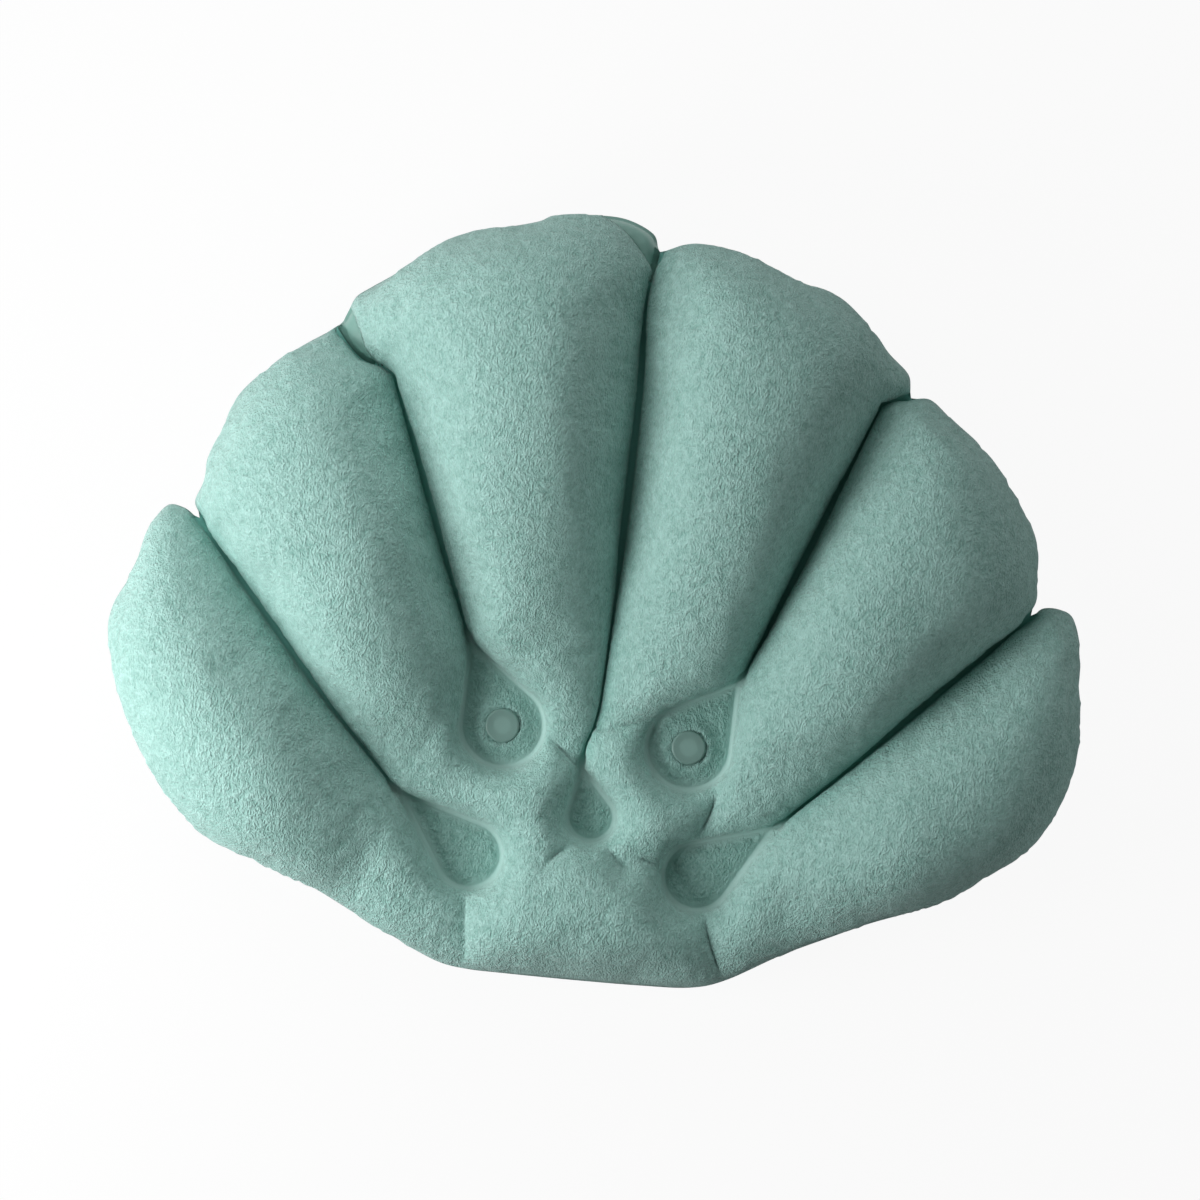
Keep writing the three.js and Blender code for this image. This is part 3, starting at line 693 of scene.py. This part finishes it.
def terryMaterial():
    material, tree, output = newMaterial("green_terry")
    place = addNode(tree, "ShaderNodeTexCoord").outputs["Object"]
    stretched = addNode(tree, "ShaderNodeMapping", Vector=place)
    stretched.inputs["Scale"].default_value = (1 / terry["loop"], 1 / terry["loopLength"], 1 / terry["loop"])
    loops = addNode(tree, "ShaderNodeTexNoise", Vector=stretched.outputs[0], Scale=1 / mm, Detail=2.0,
                    Roughness=0.6)
    clumps = addNode(tree, "ShaderNodeTexNoise", Vector=place, Scale=1 / (terry["clump"] * mm), Detail=2.0)
    patches = addNode(tree, "ShaderNodeTexNoise", Vector=place, Scale=terry["patchScale"], Detail=3.0,
                      Roughness=0.6)
    pressed = addNode(tree, "ShaderNodeAttribute", {"attribute_name": "pressed"}).outputs["Fac"]
    # Mask of the painted shade along the grooves
    paintedGrooveShade = addNode(tree, "ShaderNodeAttribute", {"attribute_name": "paintedGrooveShade"}).outputs["Fac"]
    tufts = addNode(tree, "ShaderNodeMath", {"operation": "MULTIPLY_ADD"}, i0=clumps.outputs["Fac"],
                    i1=terry["clumpTone"], i2=loops.outputs["Fac"])
    grain = addNode(tree, "ShaderNodeMapRange", Value=tufts.outputs[0], From_Min=terry["grain"][0],
                    From_Max=terry["grain"][1])
    shadeMix = addNode(tree, "ShaderNodeMix", {"data_type": "RGBA"}, Factor=grain.outputs["Result"],
                       i6=terry["shade"], i7=terry["colour"])
    mottle = addNode(tree, "ShaderNodeMapRange", Value=patches.outputs["Fac"], From_Min=terry["patches"][0],
                     From_Max=terry["patches"][1], To_Max=terry["patchShare"])
    evened = addNode(tree, "ShaderNodeMix", {"data_type": "RGBA"}, Factor=mottle.outputs["Result"],
                     i6=shadeMix.outputs[2], i7=terry["colour"])
    # Painted shade: the islands' insides are darkened by a multiply
    shadedIslandMask = addNode(tree, "ShaderNodeAttribute", {"attribute_name": "island"}).outputs["Fac"]
    islandDarkened = addNode(tree, "ShaderNodeMix", {"data_type": "RGBA", "blend_type": "MULTIPLY"}, Factor=shadedIslandMask,
                        i6=evened.outputs[2], i7=terry["island"])
    toBand = addNode(tree, "ShaderNodeMix", {"data_type": "RGBA"}, Factor=pressed,
                     i6=islandDarkened.outputs[2], i7=terry["pressed"])
    # Painted shade: the colour turns to the darker green along the grooves
    toGrooveShade = addNode(tree, "ShaderNodeMix", {"data_type": "RGBA"}, Factor=paintedGrooveShade,
                     i6=toBand.outputs[2], i7=terry["deep"])
    loose = addNode(tree, "ShaderNodeMapRange", Value=pressed, To_Min=1.0, To_Max=terry["pressedPile"])
    pile = addNode(tree, "ShaderNodeMath", {"operation": "MULTIPLY_ADD"}, i0=clumps.outputs["Fac"],
                   i1=terry["clumpShare"], i2=loops.outputs["Fac"])
    height = addNode(tree, "ShaderNodeMath", {"operation": "MULTIPLY"}, i0=pile.outputs[0],
                     i1=loose.outputs["Result"])
    bump = addNode(tree, "ShaderNodeBump", Strength=terry["bump"], Distance=terry["loopHeight"] * mm,
                   Height=height.outputs[0])
    shader = addNode(tree, "ShaderNodeBsdfPrincipled", Base_Color=toGrooveShade.outputs[2],
                     Roughness=terry["roughness"], Normal=bump.outputs["Normal"], Sheen_Weight=terry["sheen"],
                     Sheen_Roughness=terry["sheenRoughness"], Specular_IOR_Level=terry["specular"])
    tree.links.new(shader.outputs["BSDF"], output.inputs["Surface"])
    return material


vinyl = {"back": (0.25, 0.47, 0.41, 1), "lining": (0.7, 0.78, 0.75, 1), "deep": 0.85, "grainScale": 900.0,
         "cloudScale": 40.0, "bump": 0.2, "bumpHeight": 0.12, "roughness": (0.36, 0.55)}


def vinylMaterial(name, colour):
    material, tree, output = newMaterial(name)
    place = addNode(tree, "ShaderNodeTexCoord").outputs["Object"]
    grain = addNode(tree, "ShaderNodeTexNoise", Vector=place, Scale=vinyl["grainScale"], Detail=2.0)
    cloud = addNode(tree, "ShaderNodeTexNoise", Vector=place, Scale=vinyl["cloudScale"], Detail=2.0)
    deep = tuple(vinyl["deep"] * c for c in colour[:3]) + (1,)
    tone = addNode(tree, "ShaderNodeMix", {"data_type": "RGBA"}, Factor=cloud.outputs["Fac"], i6=deep, i7=colour)
    bump = addNode(tree, "ShaderNodeBump", Strength=vinyl["bump"], Distance=vinyl["bumpHeight"] * mm,
                   Height=grain.outputs["Fac"])
    rough = addNode(tree, "ShaderNodeMapRange", Value=grain.outputs["Fac"], To_Min=vinyl["roughness"][0],
                    To_Max=vinyl["roughness"][1])
    shader = addNode(tree, "ShaderNodeBsdfPrincipled", Base_Color=tone.outputs[2],
                     Roughness=rough.outputs["Result"], Normal=bump.outputs["Normal"])
    tree.links.new(shader.outputs["BSDF"], output.inputs["Surface"])
    return material


def makeSheets():
    outer, pressed = frontShape()
    under = backShape()
    normals = pointNormals(outer, planTriangles)
    kept = outsideHoles(holes["cups"])
    front = meshObject("front_terry", outer, planTriangles[kept & ~isBare])
    addValues(front, "pressed", pressed)
    # Mask of the painted shade on the islands' insides, from the inner edge of the band
    inward = -weldStyle["band"]
    addValues(front, "island", smoothStep(inward, inward - terry["islandFade"], nearWeld))
    # Mask of the painted shade along the grooves, fading out near the islands
    clearOfIslands = smoothStep(*terry["grooveShadeFade"], np.min([islandDistance(plan, weld) for weld in welds], axis=0))
    grooveShadeMask = terry["paintedGrooveShade"] * np.exp(-np.maximum(nearWeld, 0) / terry["grooveShadeReach"])
    addValues(front, "paintedGrooveShade", grooveShadeMask * clearOfIslands)
    liningPoints = outer - sheets["liningDepth"] * mm * normals
    lining = meshObject("front_lining", liningPoints, planTriangles[kept & ~isBare])
    # The back sheet comes round the rim in two places, so its mesh takes the bare triangles of the front with it
    count = len(plan)
    turn = []
    for triangle in planTriangles[isBare]:
        for a, b in zip(triangle, np.roll(triangle, -1)):
            if nearRim[a] < 0.01 and nearRim[b] < 0.01:
                turn += [(b + count, a + count, a), (b + count, a, b)]
    flipped = planTriangles[outsideHoles(holes["cups"] + [holes["valve"]])][:, ::-1]
    faces = np.vstack([flipped, planTriangles[isBare] + count, np.array(turn)])
    back = meshObject("back_vinyl", np.vstack([under, outer - sheets["turnDepth"] * mm * normals]), faces)
    for obj, thickness, material, slot in (
        (front, sheets["terry"], terryMaterial(), "terry"),
        (lining, sheets["lining"], vinylMaterial("lining_vinyl", vinyl["lining"]), "lining_vinyl"),
        (back, sheets["back"], vinylMaterial("back_vinyl", vinyl["back"]), "back_vinyl"),
    ):
        bm = bmesh.new()
        bm.from_mesh(obj.data)
        bmesh.ops.delete(bm, geom=[v for v in bm.verts if not v.link_faces], context="VERTS")
        bm.to_mesh(obj.data)
        bm.free()
        solidify(obj, thickness)
        obj.data.materials.append(material)
        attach(obj, "pillow")
    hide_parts("front_terry_panel")
    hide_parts("front_vinyl_lining")
    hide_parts("back_vinyl_panel")
    print("sheets", len(front.data.polygons), len(back.data.polygons))
    return under


backSheet = makeSheets()

clear = {"colour": (0.30, 0.50, 0.45, 1), "transmission": 0.35, "ior": 1.5, "cloudScale": 160.0,
         "rippleScale": 420.0, "bump": 0.25, "bumpHeight": 0.15, "roughness": (0.3, 0.42)}


def clearMaterial():
    material, tree, output = newMaterial("clear_vinyl")
    place = addNode(tree, "ShaderNodeTexCoord").outputs["Object"]
    cloud = addNode(tree, "ShaderNodeTexNoise", Vector=place, Scale=clear["cloudScale"], Detail=2.0)
    ripple = addNode(tree, "ShaderNodeTexNoise", Vector=place, Scale=clear["rippleScale"], Detail=1.0)
    rough = addNode(tree, "ShaderNodeMapRange", Value=cloud.outputs["Fac"], To_Min=clear["roughness"][0],
                    To_Max=clear["roughness"][1])
    bump = addNode(tree, "ShaderNodeBump", Strength=clear["bump"], Distance=clear["bumpHeight"] * mm,
                   Height=ripple.outputs["Fac"])
    shader = addNode(tree, "ShaderNodeBsdfPrincipled", Base_Color=clear["colour"], IOR=clear["ior"],
                     Roughness=rough.outputs["Result"], Normal=bump.outputs["Normal"],
                     Transmission_Weight=clear["transmission"])
    tree.links.new(shader.outputs["BSDF"], output.inputs["Surface"])
    return material


clearVinyl = clearMaterial()


def finishedPiece(obj, body, *nodes):
    obj.data.materials.append(clearVinyl)
    if body:
        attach(obj, body)
    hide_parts(*nodes)
    return obj


def rounded(corners, radii, segments=5, closed=False):
    # A profile whose corners are rounded, each by its own radius
    line = []
    for n, (corner, radius) in enumerate(zip(corners, radii)):
        p = np.array(corner, float)
        if not radius or (not closed and n in (0, len(corners) - 1)):
            line.append(tuple(p))
            continue
        a = np.array(corners[n - 1], float) - p
        b = np.array(corners[(n + 1) % len(corners)], float) - p
        far, near = np.linalg.norm(a), np.linalg.norm(b)
        half = math.acos(np.clip((a @ b) / (far * near), -1, 1)) / 2
        cut = min(radius / math.tan(half), 0.45 * min(far, near))
        start, end = p + a * cut / far, p + b * cut / near
        for s in np.linspace(0, 1, segments + 1):
            line.append(tuple((1 - s) ** 2 * start + 2 * s * (1 - s) * p + s * s * end))
    return line


def spunPiece(name, profile, centre, steps=80, closed=False):
    # Turns a profile of (radius, height) about a vertical axis
    bm = bmesh.new()
    verts = [bm.verts.new((centre[0] + r * mm, centre[1], z * mm)) for r, z in profile]
    pairs = list(zip(verts, verts[1:])) + ([(verts[-1], verts[0])] if closed else [])
    edges = [bm.edges.new(pair) for pair in pairs]
    bmesh.ops.spin(bm, geom=verts + edges, cent=(centre[0], centre[1], 0), axis=(0, 0, 1), angle=math.tau,
                   steps=steps, use_merge=True)
    bmesh.ops.remove_doubles(bm, verts=bm.verts, dist=1e-6)
    bmesh.ops.recalc_face_normals(bm, faces=bm.faces)
    return objectOf(name, bm)


def objectOf(name, bm):
    for face in bm.faces:
        face.smooth = True
    mesh = bpy.data.meshes.new(name)
    bm.to_mesh(mesh)
    bm.free()
    obj = addObject(name, mesh)
    modifier = obj.modifiers.new("normals", "WEIGHTED_NORMAL")
    modifier.keep_sharp = True
    return obj


cup = {"inner": 19, "lip": 21, "lipHeight": 0.9, "hollow": 13.65, "boss": 7.5, "bossLow": 15.45, "bossTop": 19.95,
       "neck": 3.4, "headLow": 23.85, "head": 6.6, "headTop": 26.05, "domeSteps": 20, "lipEdges": [0.25, 0.25],
       "bossEdges": [0.9, 0.8, 0.35], "headEdges": [0.4, 0.5, 1.1, 0]}


def cupProfile():
    # Down the hollow to the lip, back over the dome to the boss, then the neck and the head
    turns = np.linspace(math.pi / 2, 0, cup["domeSteps"] + 1)
    inside = [(cup["inner"] * math.cos(t), cup["hollow"] * math.sin(t)) for t in turns]
    inside[0] = (0, cup["hollow"])
    outside = [(cup["boss"] + (cup["lip"] - cup["boss"]) * math.cos(t),
                cup["lipHeight"] + (cup["bossLow"] - cup["lipHeight"]) * math.sin(t)) for t in turns[::-1]]
    corners = [(cup["lip"], 0)] + outside + [
        (cup["boss"], cup["bossTop"]), (cup["neck"], cup["bossTop"]), (cup["neck"], cup["headLow"]),
        (cup["head"], cup["headLow"]), (cup["head"], cup["headTop"]), (0, cup["headTop"])]
    radii = cup["lipEdges"] + [0] * (len(outside) - 2) + cup["bossEdges"] + cup["headEdges"]
    return inside + rounded([inside[-1]] + corners, [0] + radii)[1:]


def makeCups():
    for side in ("left", "right"):
        node = "suction_cup_" + side
        moulding = spunPiece("cup_" + side + "_moulding", cupProfile(), middleOf(node))
        finishedPiece(moulding, side + "_cup", node)


makeCups()

backTree = BVHTree.FromPolygons([Vector(p) for p in backSheet.tolist()], planTriangles.tolist())


def backHeight(x, y):
    # Height of the back sheet's outer face, in millimetres
    return backTree.ray_cast(Vector((x, y, -1)), Vector((0, 0, 1)))[0].z / mm


def skinRows(bm, rows):
    # Faces between each row of points and the next, each row closed to a ring
    for low, high in zip(rows, rows[1:]):
        for k in range(len(low)):
            bm.faces.new((low[k], low[k - 1], high[k - 1], high[k]))


# Radius, and height above the back sheet
collar = {"section": [(14.5, 0.9), (14.5, 1.7), (12.5, 1.75), (12.3, 2.1), (12.3, 3.8), (12.0, 4.1), (11.3, 4.1),
                      (11, 3.8), (11, 0.9)],
          "steps": 80}


def makeCollar(x, y):
    # The patch and collar follow the back sheet round the bore
    turns = np.linspace(0, math.tau, collar["steps"], endpoint=False)
    bm = bmesh.new()
    rows = []
    for r, up in collar["section"]:
        row = []
        for t in turns:
            px, py = x + r * mm * math.cos(t), y + r * mm * math.sin(t)
            row.append(bm.verts.new((px, py, (backHeight(px, py) + up) * mm)))
        rows.append(row)
    skinRows(bm, rows + rows[:1])
    bmesh.ops.recalc_face_normals(bm, faces=bm.faces)
    finishedPiece(objectOf("valve_collar", bm), "pillow", "valve_base")


web = {"line": [(6.3, 15.2), (7.1, 15.0), (7.9, 14.0), (8.7, 12.0), (9.4, 9.9), (9.9, 8.4), (10.3, 7.75),
                (10.7, 7.6)],
       "thickness": 0.6, "step": 0.5}


def makeDish(x, y):
    line = smoothLine(web["line"], web["step"])
    half = web["thickness"] / 2
    ring = [tuple(p) for p in np.vstack([sideRows(line, half), sideRows(line, -half)[::-1]])]
    dish = finishedPiece(spunPiece("valve_web", ring, (x, y), closed=True), None, "valve_diaphragm")
    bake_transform(dish)


tube = {"corners": [(3.1, 6.48), (4.5, 6.48), (4.5, 14.48), (6, 14.48), (6, 15.48), (3.1, 15.48)],
        "radii": [0.3, 0.4, 0.5, 0.3, 0.3, 0.3]}
leaf = {"corners": [(0, 15.78), (4.3, 15.78), (4.3, 16.28), (0, 16.28)], "radii": [0, 0.15, 0.2, 0]}


def makeNeckAndFlap(x, y):
    profile = rounded(tube["corners"], tube["radii"], closed=True)
    finishedPiece(spunPiece("valve_tube", profile, (x, y), closed=True), "neck", "valve_neck")
    finishedPiece(spunPiece("valve_leaf", rounded(leaf["corners"], leaf["radii"]), (x, y)), "flap", "valve_flap")


plug = {"corners": [(0, 4.6), (2.2, 4.6), (2.9, 4.38), (6.2, 4.38), (6.2, 6.18), (2.8, 6.18), (2.3, 11.18),
                    (0, 11.18)],
        "radii": [0, 0.3, 0.3, 0.55, 0.45, 0.25, 0.6, 0]}
fingerTab = {"radius": 2.5, "root": -5.2, "roundEnd": -7.3, "low": 4.78, "thickness": 1.1, "steps": 17,
             "bevel": 0.35, "sharpFrom": 0.9}


def makeStopper(x, y):
    stopper = spunPiece("valve_plug", rounded(plug["corners"], plug["radii"]), (x, y))
    # The finger tab: a tongue with a round end, towards the hub's edge
    bm = bmesh.new()
    bm.from_mesh(stopper.data)
    radius = fingerTab["radius"]
    outline = [(-radius, fingerTab["root"])]
    for t in np.linspace(math.pi, math.tau, fingerTab["steps"]):
        outline.append((radius * math.cos(t), fingerTab["roundEnd"] + radius * math.sin(t)))
    outline.append((radius, fingerTab["root"]))
    verts = [bm.verts.new((x + px * mm, y + py * mm, fingerTab["low"] * mm)) for px, py in outline]
    grown = bmesh.ops.extrude_face_region(bm, geom=[bm.faces.new(verts)])["geom"]
    top = [v for v in grown if isinstance(v, bmesh.types.BMVert)]
    bmesh.ops.translate(bm, verts=top, vec=(0, 0, fingerTab["thickness"] * mm))
    faces = [f for f in bm.faces if all(v in top or v in verts for v in f.verts)]
    bmesh.ops.recalc_face_normals(bm, faces=faces)
    rim = [e for f in faces for e in f.edges if e.calc_face_angle(0) > fingerTab["sharpFrom"]]
    bmesh.ops.bevel(bm, geom=list(set(rim)), offset=fingerTab["bevel"] * mm, segments=3, profile=0.5,
                    affect="EDGES", material=-1)
    for f in bm.faces:
        f.smooth = True
    bm.to_mesh(stopper.data)
    bm.free()
    finishedPiece(stopper, "stopper", "valve_stopper")


# The strap goes out from the neck, turns, and comes back to the head's edge
strapBend = {"path": [(4.8, 7.83), (8.45, 7.83), (8.45, 5.28), (6.5, 5.28)], "bends": [0, 1.2, 1.2, 0],
             "step": 0.35, "halfWidth": 1.6, "halfThickness": 0.45, "edge": 0.3}


def makeStrap(x, y):
    line = smoothLine(rounded(strapBend["path"], strapBend["bends"], segments=8), strapBend["step"])
    wide, thick = strapBend["halfWidth"], strapBend["halfThickness"]
    corners = [(-wide, -thick), (wide, -thick), (wide, thick), (-wide, thick)]
    section = rounded(corners, [strapBend["edge"]] * 4, segments=3, closed=True)
    bm = bmesh.new()
    rows = [[bm.verts.new((x + u * mm, y + (p[0] + v * s[0]) * mm, (p[1] + v * s[1]) * mm)) for u, v in section]
            for p, s in zip(line, sideways(line))]
    skinRows(bm, rows)
    bm.faces.new(rows[0])
    bm.faces.new(rows[-1][::-1])
    bmesh.ops.recalc_face_normals(bm, faces=bm.faces)
    strap = finishedPiece(objectOf("valve_strap", bm), None, "stopper_strap")
    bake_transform(strap)


for makePart in (makeCollar, makeDish, makeNeckAndFlap, makeStopper, makeStrap):
    makePart(*middleOf("valve_neck"))
print("valve made")

ground = {"size": 4, "drop": 0.2, "glow": 0.93, "tone": 0.8}


def makeFloor():
    bm = bmesh.new()
    bmesh.ops.create_grid(bm, x_segments=1, y_segments=1, size=ground["size"])
    mesh = bpy.data.meshes.new("floor")
    bm.to_mesh(mesh)
    bm.free()
    floor = addObject("floor", mesh)
    floor.location.z = -ground["drop"] * mm
    material, tree, output = newMaterial("floor_white")
    rays = addNode(tree, "ShaderNodeLightPath")
    seen = addNode(tree, "ShaderNodeMath", {"operation": "MAXIMUM"}, i0=rays.outputs["Is Camera Ray"],
                   i1=rays.outputs["Is Glossy Ray"])
    seenToo = addNode(tree, "ShaderNodeMath", {"operation": "MAXIMUM"}, i0=seen.outputs[0],
                      i1=rays.outputs["Is Transmission Ray"])
    share = addNode(tree, "ShaderNodeMath", {"operation": "MULTIPLY"}, i0=seenToo.outputs[0],
                    i1=ground["glow"])
    diffuse = addNode(tree, "ShaderNodeBsdfDiffuse", Color=(ground["tone"],) * 3 + (1,))
    glow = addNode(tree, "ShaderNodeEmission", Color=(1, 1, 1, 1), Strength=1.0)
    both = addNode(tree, "ShaderNodeMixShader", i0=share.outputs[0], i1=diffuse.outputs[0], i2=glow.outputs[0])
    tree.links.new(both.outputs[0], output.inputs["Surface"])
    mesh.materials.append(material)


makeFloor()

light = {
    "lamps": [
        {"from": (-420, -200, 280), "size": 250, "power": 2.1},
        {"from": (-280, 200, 280), "size": 250, "power": 0.6},
        {"from": (0, 600, 300), "size": 400, "power": 0.7},
        {"from": (600, 0, 350), "size": 400, "power": 0.55},
    ],
    "aim": (0, 0, 30),
    "ambient": 0.06,
}


def makeLights():
    for n, values in enumerate(light["lamps"]):
        data = bpy.data.lights.new("lamp" + str(n + 1), "AREA")
        data.size = values["size"] * mm
        data.energy = values["power"]
        lamp = addObject(data.name, data)
        lamp.location = [c * mm for c in values["from"]]
        aim = Vector(values["from"]) - Vector(light["aim"])
        lamp.rotation_euler = aim.to_track_quat("Z", "Y").to_euler()
    world = bpy.data.worlds.new("studio")
    bpy.context.scene.world = world
    world.use_nodes = True
    tree = world.node_tree
    tree.nodes.clear()
    rays = addNode(tree, "ShaderNodeLightPath")
    soft = addNode(tree, "ShaderNodeBackground", Color=(1, 1, 1, 1), Strength=light["ambient"])
    white = addNode(tree, "ShaderNodeBackground", Color=(1, 1, 1, 1), Strength=1.0)
    both = addNode(tree, "ShaderNodeMixShader", i0=rays.outputs["Is Camera Ray"], i1=soft.outputs[0],
                   i2=white.outputs[0])
    output = tree.nodes.new("ShaderNodeOutputWorld")
    tree.links.new(both.outputs[0], output.inputs["Surface"])


makeLights()
bpy.context.scene.view_settings.view_transform = "Standard"
